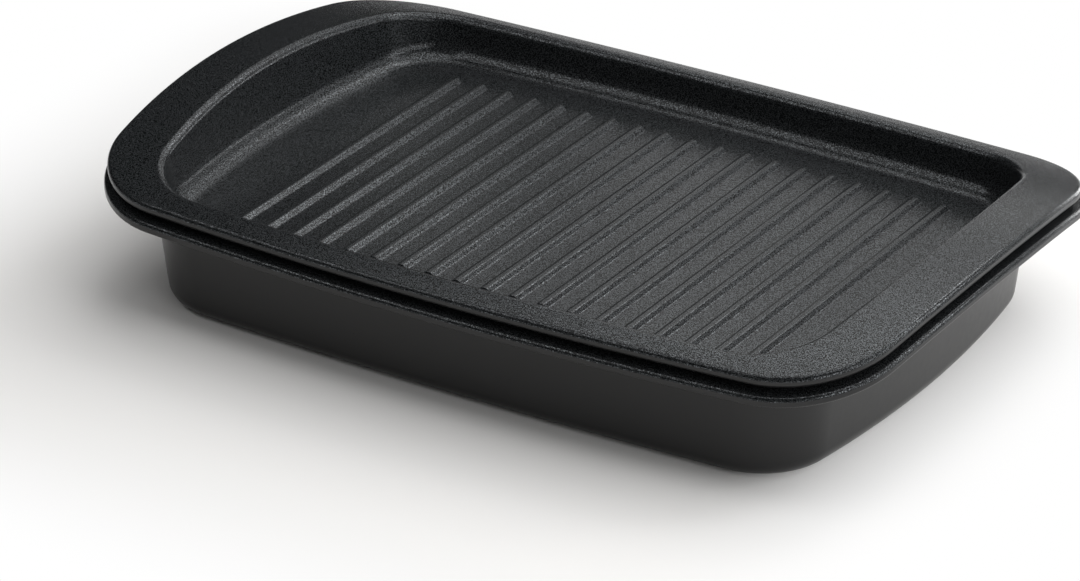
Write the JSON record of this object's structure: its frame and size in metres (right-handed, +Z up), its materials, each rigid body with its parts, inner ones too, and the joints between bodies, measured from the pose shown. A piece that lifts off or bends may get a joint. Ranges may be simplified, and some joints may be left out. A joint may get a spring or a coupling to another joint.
{
  "type": "grill plate with baking pan",
  "caption": "Rectangular ribbed grill plate with an arched rim, seated on a deeper baking pan that it lifts out of.",
  "frame": {"origin": "centre of the pan's underside, on the surface that it stands on", "axes": "+X along the long side, +Y along the short side and across the arch's slope, +Z up"},
  "size_m": [0.4034, 0.2634, 0.0729],
  "materials": {
    "tray_coating": "satin black non-stick coating with fine pale flecks, on cast aluminium",
    "pan_coating": "satin black coating with fine pale flecks, on cast aluminium"
  },
  "bodies": {
    "pan": {"baking_pan": "pan_coating"},
    "tray": {"grill_tray": "tray_coating"}
  },
  "joints": [
    {"name": "tray_lift", "type": "slide", "parent": "pan", "child": "tray", "axis": [0, 0, 1], "range_m": [0, 0.06]}
  ]
}
